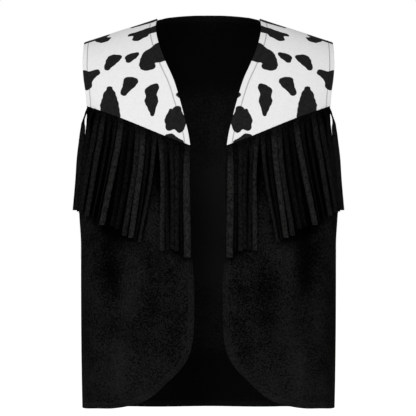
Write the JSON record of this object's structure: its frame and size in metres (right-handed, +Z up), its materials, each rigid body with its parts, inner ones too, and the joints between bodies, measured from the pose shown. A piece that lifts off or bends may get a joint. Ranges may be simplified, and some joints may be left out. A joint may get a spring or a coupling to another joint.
{
  "type": "western vest",
  "caption": "Open sleeveless vest worn as on a body, with printed front yokes, long cut fringe in the slanted chest seams and rounded lower front corners.",
  "frame": {"origin": "midway between the shoulders, at the height of the middle of the shoulder ridges, where the wearer's shoulders carry the vest", "axes": "+Z up, -Y out of the front, +X towards the right of a viewer who faces the front"},
  "size_m": [0.4422, 0.234, 0.6619],
  "materials": {
    "suede_cloth": "black brushed suede-like cloth, matt, with a short nap",
    "cow_print_cloth": "off-white cloth with a smooth short pile and black cow-print patches",
    "fringe_suede": "black suede-like cloth cut into narrow strands"
  },
  "bodies": {
    "root": {"back": "suede_cloth", "front_left": "suede_cloth", "front_right": "suede_cloth", "yoke_left": "cow_print_cloth", "yoke_right": "cow_print_cloth", "fringe_left": "fringe_suede", "fringe_right": "fringe_suede"}
  },
  "joints": []
}
